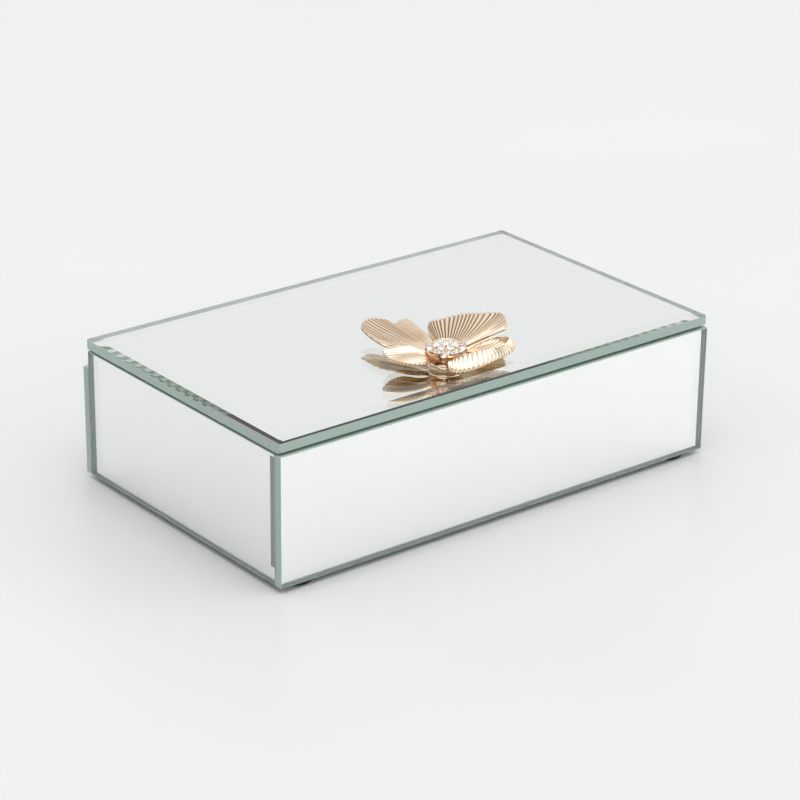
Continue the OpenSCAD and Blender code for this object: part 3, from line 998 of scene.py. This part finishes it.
def screw_tree():
    """Two screws at each of two hinges, each turned as the driver left it."""
    tree, given = new_tree("hinge_screws", [
        ("Screw", "NodeSocketObject", None), ("Hinge spacing", "NodeSocketFloat", 0.12),
        ("Screw spacing", "NodeSocketFloat", 0.014), ("Place", "NodeSocketVector", None),
        ("Tilt", "NodeSocketVector", None), ("Seed", "NodeSocketInt", 4),
        ("Finish", "NodeSocketMaterial", None)])
    lines = []
    for label in ("Hinge spacing", "Screw spacing"):
        half = add(tree, "ShaderNodeMath", (given[label], -0.5), operation="MULTIPLY")
        lines.append(add(tree, "GeometryNodeMeshLine", {
            "Count": 2, "Start Location": add(tree, "ShaderNodeCombineXYZ", {"X": half}),
            "Offset": add(tree, "ShaderNodeCombineXYZ", {"X": given[label]})}))
    pairs = add(tree, "GeometryNodeInstanceOnPoints", {"Points": lines[0], "Instance": lines[1]})
    spots = add(tree, "GeometryNodeRealizeInstances", {"Geometry": pairs})
    moved = add(tree, "GeometryNodeSetPosition", {"Geometry": spots, "Offset": given["Place"]})
    screw = add(tree, "GeometryNodeObjectInfo", {"Object": given["Screw"]}, out="Geometry")
    placed = add(tree, "GeometryNodeInstanceOnPoints", {
        "Points": moved, "Instance": screw, "Rotation": given["Tilt"]})
    add(tree, "NodeGroupOutput", {"Geometry": spun_and_finished(tree, placed, given)})
    return tree


class TRINKET_OT_hinges(bpy.types.Operator):
    """Finish the hinge leaves and pins, and drive their screws"""
    bl_idname = "trinket.hinges"
    bl_label = "Hinges"

    def execute(self, context):
        refinish(("left_hinge_case_leaf", "right_hinge_case_leaf", "left_hinge_lid_leaf",
                  "right_hinge_lid_leaf", "left_hinge_pin", "right_hinge_pin"),
                 material(plated_steel))
        screw = screw_template()
        tree = screw_tree()
        left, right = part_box("left_hinge_pin"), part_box("right_hinge_pin")
        spacing = (right[0].x + right[1].x - left[0].x - left[1].x) / 2
        for node, body, tilt in (("case_leaf_screws", CASE, (math.radians(-90), 0.0, 0.0)),
                                 ("lid_leaf_screws", LID, (0.0, 0.0, 0.0))):
            lo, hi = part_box(node)
            middle = (lo + hi) / 2
            place = (0.0, hi.y, middle.z) if body == CASE else (0.0, middle.y, hi.z)
            screws = from_tree(node + "_cross", tree, {
                "Screw": screw, "Hinge spacing": spacing,
                "Screw spacing": hi.x - lo.x - spacing - 2 * SCREW_HEAD_R,
                "Place": place, "Tilt": tilt, "Seed": 4,
                "Finish": material(plated_steel)}, body)
            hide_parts(node)
        return {"FINISHED"}


class TRINKET_OT_feet(bpy.types.Operator):
    """Finish the four foam feet"""
    bl_idname = "trinket.feet"
    bl_label = "Feet"

    def execute(self, context):
        refinish(("foot_front_left", "foot_front_right", "foot_back_left", "foot_back_right"),
                 material(foam_rubber))
        return {"FINISHED"}


# ---- Flower ----

# Each petal is a sheet of rays from the stud: its first and last angle at the stud, the
# knees that the rays bend at, then the rim. Millimetres from the stud: x to the right,
# y away and z up from the glass.
LEFT_PETAL = (
    (172, 112),
    ((-8, 0, 3), (-17, 6, 2), (-24, 12, 1.4), (-24, 16, 2.6), (-20, 19, 4.2), (-16, 18, 4.8),
     (-13, 16, 4.4), (-11, 17.5, 6.2), (-9.2, 17, 6.2), (-7.2, 14, 4.8), (-4.5, 9.3, 3.7),
     (-2.5, 5.8, 3.2)),
    ((-13.5, 2.8, 3), (-23, 8, 3.5), (-30, 19, 4.5), (-30.5, 24, 5.7), (-27.5, 27.5, 6),
     (-22.5, 26.3, 6.2), (-19, 23.4, 5.6), (-16.5, 25.3, 6.2), (-14, 26.3, 6.2), (-10.8, 21.4, 6),
     (-7.4, 15.5, 5.4), (-4, 9, 4.2)),
)
FRONT_LEFT_PETAL = (
    (182, 240),
    ((-8.5, -0.8, 3.9), (-10, -1, 4.7), (-11.5, -1, 5.3), (-13, -2.5, 5.5), (-13.5, -4.5, 5.2),
     (-13, -6.5, 4.6), (-11, -7, 4), (-8.5, -7.5, 3.2), (-6, -7.5, 2.8), (-4, -6.5, 2.5)),
    ((-12.5, 3.2, 4.9), (-14.5, 4.6, 5.3), (-16.5, 5, 5.6), (-20, 2.5, 6), (-22.5, -4.5, 6.2),
     (-21, -8.5, 5.2), (-18, -10.5, 4.7), (-14, -11.5, 4.2), (-8.5, -10.5, 3.5), (-5, -7.5, 2.5)),
)
RIGHT_PETAL = (
    (-98, 24),
    ((1.5, -13, 1), (3.5, -18, -0.5), (9.5, -18, -1), (17, -12, -1), (24, -3, -0.5),
     (29, 3, 0), (34, 12, 0.5), (28, 12.5, 1), (20, 13, 2), (14, 9, 2.6), (9, 5, 2.8),
     (6, 2, 3)),
    ((1, -9, 4), (2.5, -10, 5), (7.5, -7, 6), (13.5, -3.5, 6.5), (17, 0, 6), (19.5, 2, 5.5),
     (21.5, 4.5, 6), (23, 9, 6), (22, 11, 6), (17.5, 11, 6), (12, 7.5, 5.2), (8.5, 4, 4.6)),
)
BACK_PETAL = (
    (44, 100),
    ((12, 12, 4.3), (14.5, 14, 4.5), (14.5, 17, 4.5), (13, 18, 4.3), (9, 18, 4), (5.5, 17.5, 3.8),
     (2, 17, 3.5), (-1, 16, 3.2), (-3.5, 15, 3.2), (-4, 13, 3.2), (-3.5, 10, 3.2)),
    ((22, 17, 6.5), (22.5, 21.9, 7), (21.5, 28.9, 7.5), (19, 29.6, 8), (12.5, 27.6, 8.5),
     (8, 27.1, 8.5), (3.5, 26.4, 8), (-2, 24.8, 7), (-5.5, 24, 6.5), (-6.5, 21.4, 5.5),
     (-6, 16.5, 4.5)),
)
ROOT_R = 3.4
ROOT_Z = 2.7


def smooth_along(places, t):
    """A smooth curve through the given places, read at each t from 0 to 1."""
    places = np.array(places, float)
    last = len(places) - 1
    i = np.minimum(last - 1, np.floor(t * last).astype(int))
    s = (t * last - i)[:, None]
    a, b, c, d = (places[np.clip(i + k, 0, last)] for k in (-1, 0, 1, 2))
    return 0.5 * (2 * b + (c - a) * s + (2 * a - 5 * b + 4 * c - d) * s ** 2
                  + (3 * b - a - 3 * c + d) * s ** 3)


def ease(low, high, value):
    """0 below low, 1 above high, and smooth between."""
    x = np.clip((value - low) / (high - low), 0, 1)
    return x * x * (3 - 2 * x)


def petal_sheet(shape, u, t):
    """The middle of a petal's sheet: an array of points, one row for each u."""
    angles = np.radians(shape[0][0] + (shape[0][1] - shape[0][0]) * t)
    root = np.stack([ROOT_R * np.cos(angles), ROOT_R * np.sin(angles),
                     np.full_like(t, ROOT_Z)], 1)
    knee, rim = smooth_along(shape[1], t), smooth_along(shape[2], t)
    u = u[:, None, None]
    return (1 - u) ** 2 * root + 2 * u * (1 - u) * knee + u ** 2 * rim


def facing(points):
    """Unit normals of a grid of points, up at the stud."""
    across = np.cross(np.gradient(points, axis=0), np.gradient(points, axis=1))
    across /= np.maximum(1e-12, np.linalg.norm(across, axis=2, keepdims=True))
    return across if across[2, :, 2].mean() > 0 else -across


class Ribs:
    """How one petal is ribbed: count, depth, and where along t the ribs are strong."""

    def __init__(self, count, depth, under, scallop, strong):
        self.count = count
        self.depth = depth
        self.under = under
        self.scallop = scallop
        self.strong = strong


def petal_mesh(name, shape, ribs, thickness, frame_matrix):
    """A ribbed petal as one closed shell with its groove depth as an attribute."""
    steps_t = ribs.count * 8
    steps_u = 56
    t = np.linspace(0, 1, steps_t + 1)
    u = np.linspace(0.0, 1.0, steps_u + 1)
    sheet = petal_sheet(shape, u, t)
    normal = facing(sheet)
    wave = np.abs(np.sin(np.pi * ribs.count * t)) ** 0.9
    strength = np.interp(t, [s[0] for s in ribs.strong], [s[1] for s in ribs.strong])
    grown = ease(0.12, 0.42, u)[:, None]
    ridge = grown * (wave * strength)[None, :]
    hollow = grown * ((1 - wave) * strength)[None, :]
    out = np.gradient(sheet, axis=0)
    out /= np.maximum(1e-12, np.linalg.norm(out, axis=2, keepdims=True))
    rim = ease(0.9, 1.0, u)[:, None]
    sheet = sheet + out * (rim * ((wave - 0.6) * ribs.scallop * strength)[None, :])[..., None]
    edge = np.minimum(ease(0.0, 0.012, t), ease(0.0, 0.012, 1 - t))[None, :]
    thin = thickness * (0.7 + 0.3 * edge * (1 - ease(0.95, 1.0, u)[:, None] * 0.5))
    top = sheet + normal * (thin / 2 - ribs.depth * hollow)[..., None]
    low = sheet - normal * (thin / 2 - ribs.under * hollow)[..., None]
    rows, columns = u.size, t.size
    points = np.concatenate([top.reshape(-1, 3), low.reshape(-1, 3)])
    place = np.array(frame_matrix)
    points = points * MM @ place[:3, :3].T + place[:3, 3]
    index = np.arange(rows * columns).reshape(rows, columns)
    quads = np.stack([index[:-1, :-1], index[1:, :-1], index[1:, 1:], index[:-1, 1:]],
                     -1).reshape(-1, 4)
    under = quads[:, ::-1] + rows * columns
    loop = np.concatenate([index[0, :-1], index[:-1, -1], index[-1, :0:-1], index[:0:-1, 0]])
    following = np.roll(loop, -1)
    wall = np.stack([loop, following, following + rows * columns, loop + rows * columns], 1)
    mesh = bpy.data.meshes.new(name)
    mesh.from_pydata(points.tolist(), [], np.concatenate([quads, under, wall]).tolist())
    # groove holds each point's groove depth, which the gilt paints dark as painted shade.
    depth = np.concatenate([hollow.ravel(), 0.5 * hollow.ravel() * (ribs.under > 0.1)])
    groove = mesh.attributes.new("groove", "FLOAT", "POINT")
    groove.data.foreach_set("value", depth.astype(np.float32))
    # below marks faces turned downwards, which the gilt paints darker as painted shade.
    side = normal.reshape(-1, 3)[:, 2]
    facing_down = ease(-0.35, -0.75, np.concatenate([side, -side]))
    below = mesh.attributes.new("below", "FLOAT", "POINT")
    below.data.foreach_set("value", facing_down.astype(np.float32))
    bm = bmesh.new()
    bm.from_mesh(mesh)
    bmesh.ops.recalc_face_normals(bm, faces=bm.faces)
    bm.to_mesh(mesh)
    bm.free()
    return mesh


def flower_matrix():
    """From the flower's own millimetres, about its stud on the glass, to the frame."""
    lo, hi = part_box("stone_cup")
    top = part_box("lid_mirror")[1].z
    turn = Matrix.Rotation(bpy.context.scene.trinket_flower.turn, 4, "Z")
    return Matrix.Translation(((lo.x + hi.x) / 2, (lo.y + hi.y) / 2, top)) @ turn


class TRINKET_OT_petals(bpy.types.Operator):
    """Cast the four ribbed petals"""
    bl_idname = "trinket.petals"
    bl_label = "Petals"

    def execute(self, context):
        thickness = context.scene.trinket_flower.thickness / MM
        petals = (
            ("petal_left", LEFT_PETAL,
             Ribs(36, 0.65, 0.05, 0.5,
                  ((0, 0.7), (0.1, 1), (0.48, 1), (0.56, 0.7), (0.8, 0.5), (0.9, 0.1), (1, 0)))),
            ("petal_front_left", FRONT_LEFT_PETAL,
             Ribs(30, 0.45, 0.25, 0.9, ((0, 0.7), (0.15, 0.9), (0.4, 1), (0.9, 1), (1, 0.4)))),
            ("petal_right", RIGHT_PETAL,
             Ribs(38, 0.36, 0.45, 0.6, ((0, 0.9), (0.6, 1), (0.75, 0.6), (0.9, 0.2), (1, 0)))),
            ("petal_back", BACK_PETAL,
             Ribs(30, 0.6, 0.3, 0.35, ((0, 1), (0.25, 1), (0.35, 0.9), (0.9, 1), (1, 0.7)))),
        )
        for name, shape, ribs in petals:
            mesh = petal_mesh(name + "_gilt", shape, ribs, thickness, flower_matrix())
            petal = piece_of(mesh, name + "_gilt", [material(gilt_casting)], LID,
                             smooth=True)
            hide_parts(name)
        return {"FINISHED"}


def stone_template(radius):
    """A cut stone: table, star and kite facets above the girdle, a foiled cone below."""
    bm = bmesh.new()
    rings = ((0.52 * radius, 1.2 * MM, 8, 0.0), (0.8 * radius, 0.84 * MM, 8, 0.5),
             (radius, 0.34 * MM, 16, 0.0), (radius, 0.24 * MM, 16, 0.0), (0.0, -0.85 * MM, 1, 0.0))
    for r, z, count, shift in rings:
        for i in range(count):
            a = 2 * math.pi * (i + shift) / count
            bm.verts.new((r * math.cos(a), r * math.sin(a), z))
    bmesh.ops.convex_hull(bm, input=bm.verts)
    bmesh.ops.dissolve_limit(bm, angle_limit=math.radians(1), verts=bm.verts, edges=bm.edges)
    bm.normal_update()
    foiled = bm.faces.layers.bool.new("foil")
    for face in bm.faces:
        face[foiled] = face.normal.z < -0.2
    return bpy.data.objects.new("stone", plain_mesh(bm, "stone"))


def bead_template(radius):
    """A round grain of metal pushed over the stones' edges."""
    bm = bmesh.new()
    bmesh.ops.create_icosphere(bm, subdivisions=2, radius=radius)
    return bpy.data.objects.new("bead", plain_mesh(bm, "bead"))


def cluster_tree():
    """Rings of one thing on a dome: a middle one if asked for, and two rings round it."""
    tree, given = new_tree("dome_rings", [
        ("Thing", "NodeSocketObject", None), ("Middle", "NodeSocketInt", 1),
        ("Inner count", "NodeSocketInt", 6), ("Inner radius", "NodeSocketFloat", 0.00325),
        ("Outer count", "NodeSocketInt", 12), ("Outer radius", "NodeSocketFloat", 0.0063),
        ("Outer turn", "NodeSocketFloat", 0.2618), ("Inner turn", "NodeSocketFloat", 0.0),
        ("Height", "NodeSocketFloat", 0.0071),
        ("Dome", "NodeSocketFloat", 55.0), ("Wobble", "NodeSocketFloat", 0.05),
        ("Seed", "NodeSocketInt", 7), ("Finish", "NodeSocketMaterial", None),
        ("Foil", "NodeSocketMaterial", None)])
    rings = [add(tree, "GeometryNodeMeshLine", {"Count": given["Middle"]})]
    for which in ("Inner", "Outer"):
        circle = add(tree, "GeometryNodeMeshCircle", {
            "Vertices": given[which + " count"], "Radius": given[which + " radius"]})
        angle = add(tree, "ShaderNodeCombineXYZ", {"Z": given[which + " turn"]})
        rings.append(add(tree, "GeometryNodeTransform", {"Geometry": circle, "Rotation": angle}))
    joined = add(tree, "GeometryNodeJoinGeometry", {"Geometry": rings})
    # The dome falls with the square of the distance from its middle, and leans to match.
    place = add(tree, "GeometryNodeInputPosition")
    square = add(tree, "ShaderNodeVectorMath", (place, place), out="Value",
                 operation="DOT_PRODUCT")
    half = add(tree, "ShaderNodeMath", (given["Dome"], -0.5), operation="MULTIPLY")
    height = add(tree, "ShaderNodeMath", (square, half, given["Height"]),
                 operation="MULTIPLY_ADD")
    domed = add(tree, "GeometryNodeSetPosition", {
        "Geometry": joined, "Offset": add(tree, "ShaderNodeCombineXYZ", {"Z": height})})
    lean = add(tree, "ShaderNodeVectorMath", {0: place, "Scale": given["Dome"]},
               operation="SCALE")
    low = add(tree, "ShaderNodeMath", (given["Wobble"], -1.0), operation="MULTIPLY")
    wobbles = [add(tree, "ShaderNodeCombineXYZ", {"X": end, "Y": end})
               for end in (low, given["Wobble"])]
    chance = add(tree, "FunctionNodeRandomValue", {
        0: wobbles[0], 1: wobbles[1], "Seed": given["Seed"]}, data_type="FLOAT_VECTOR")
    split = [add(tree, "ShaderNodeSeparateXYZ", {0: lean}, out=axis) for axis in (0, 1)]
    upwards = add(tree, "ShaderNodeCombineXYZ", {"X": split[0], "Y": split[1], "Z": 1.0})
    way = add(tree, "ShaderNodeVectorMath", (upwards, chance), operation="ADD")
    tilt = add(tree, "FunctionNodeAlignRotationToVector", {"Vector": way}, axis="Z")
    thing = add(tree, "GeometryNodeObjectInfo", {"Object": given["Thing"]}, out="Geometry")
    placed = add(tree, "GeometryNodeInstanceOnPoints", {
        "Points": domed, "Instance": thing, "Rotation": tilt})
    backed = add(tree, "GeometryNodeSetMaterial", {
        "Geometry": spun_and_finished(tree, placed, given),
        "Selection": add(tree, "GeometryNodeInputNamedAttribute", {"Name": "foil"},
                         data_type="BOOLEAN"),
        "Material": given["Foil"]})
    add(tree, "NodeGroupOutput", {"Geometry": backed})
    return tree


class TRINKET_OT_flower_heart(bpy.types.Operator):
    """Make the flower's base and cup and set its stones"""
    bl_idname = "trinket.flower_heart"
    bl_label = "Flower heart"

    def execute(self, context):
        place = flower_matrix()
        gilt = material(gilt_casting)
        base = lathe([(0.0, 0.0), (6.3 * MM, 0.0), (6.5 * MM, 0.2 * MM), (6.5 * MM, 0.9 * MM),
                      (6.35 * MM, 1.25 * MM), (6.0 * MM, 1.4 * MM), (3.8 * MM, 1.4 * MM),
                      (3.6 * MM, 1.55 * MM), (3.6 * MM, 2.0 * MM), (3.45 * MM, 2.15 * MM),
                      (2.3 * MM, 2.15 * MM), (2.2 * MM, 2.3 * MM), (2.2 * MM, 3.3 * MM),
                      (0.0, 3.3 * MM)])
        bmesh.ops.transform(base, matrix=place, verts=base.verts)
        foot = piece_from(base, "flower_base_gilt", [gilt], LID, smooth=True)
        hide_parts("flower_base")
        dome = [(r * MM, (7.25 - 0.0275 * r * r) * MM) for r in (7.4, 6.5, 5.5, 4.5, 3.2, 1.8, 0.8)]
        cup = lathe([(0.0, 3.3 * MM), (4.3 * MM, 3.3 * MM), (4.4 * MM, 3.5 * MM),
                     (4.4 * MM, 4.9 * MM), (5.0 * MM, 5.15 * MM), (6.6 * MM, 5.7 * MM),
                     (7.2 * MM, 5.95 * MM), (7.5 * MM, 6.15 * MM), (7.55 * MM, 6.35 * MM),
                     (7.4 * MM, 6.45 * MM)]
                    + [(r, z - 0.75 * MM) for r, z in dome] + [(0.0, 6.5 * MM)])
        bmesh.ops.transform(cup, matrix=place, verts=cup.verts)
        seat = piece_from(cup, "stone_cup_gilt", [gilt], LID, smooth=True)
        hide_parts("stone_cup")

        tree = cluster_tree()
        stones = from_tree("stones_cut", tree, {
            "Thing": stone_template(1.5 * MM), "Finish": material(cut_stone),
            "Foil": material(stone_foil)}, LID)
        stones.data.transform(place)
        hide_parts("stones")
        beads = from_tree("setting_beads", tree, {
            "Thing": bead_template(0.36 * MM), "Middle": 0,
            "Inner count": 6, "Inner radius": 1.85 * MM, "Inner turn": math.radians(30),
            "Outer count": 12, "Outer radius": 4.85 * MM, "Outer turn": 0.0,
            "Height": 7.75 * MM, "Seed": 3, "Finish": gilt, "Foil": gilt},
            LID, smooth=True)
        beads.data.transform(place)
        return {"FINISHED"}


# ---- Panel and running ----

OPERATORS = (TRINKET_OT_stage, TRINKET_OT_wall_mirrors, TRINKET_OT_lid_mirror,
             TRINKET_OT_boards, TRINKET_OT_linings, TRINKET_OT_pads, TRINKET_OT_hinges,
             TRINKET_OT_feet, TRINKET_OT_petals, TRINKET_OT_flower_heart)
SETTINGS = {"trinket_glass": GlassSettings, "trinket_fabric": FabricSettings,
            "trinket_flower": FlowerSettings, "trinket_stage": StageSettings}


class TRINKET_PT_panel(bpy.types.Panel):
    """The box's sizes and colours, and a button for each of its pieces"""
    bl_idname = "TRINKET_PT_panel"
    bl_label = "Trinket Box"
    bl_space_type = "VIEW_3D"
    bl_region_type = "UI"
    bl_category = "Trinket Box"

    def draw(self, context):
        for name, group in SETTINGS.items():
            column = self.layout.column(heading=name)
            for key in group.__annotations__:
                column.prop(getattr(context.scene, name), key)
        for each in OPERATORS:
            self.layout.operator(each.bl_idname)


CLASSES = tuple(SETTINGS.values()) + OPERATORS + (TRINKET_PT_panel,)


def register():
    for each in CLASSES:
        bpy.utils.register_class(each)
    for name, group in SETTINGS.items():
        setattr(bpy.types.Scene, name, bpy.props.PointerProperty(type=group))


def unregister():
    for name in SETTINGS:
        delattr(bpy.types.Scene, name)
    for each in reversed(CLASSES):
        bpy.utils.unregister_class(each)


def main():
    register()
    for each in OPERATORS:
        group, name = each.bl_idname.split(".")
        getattr(getattr(bpy.ops, group), name)()


if __name__ == "__main__":
    main()
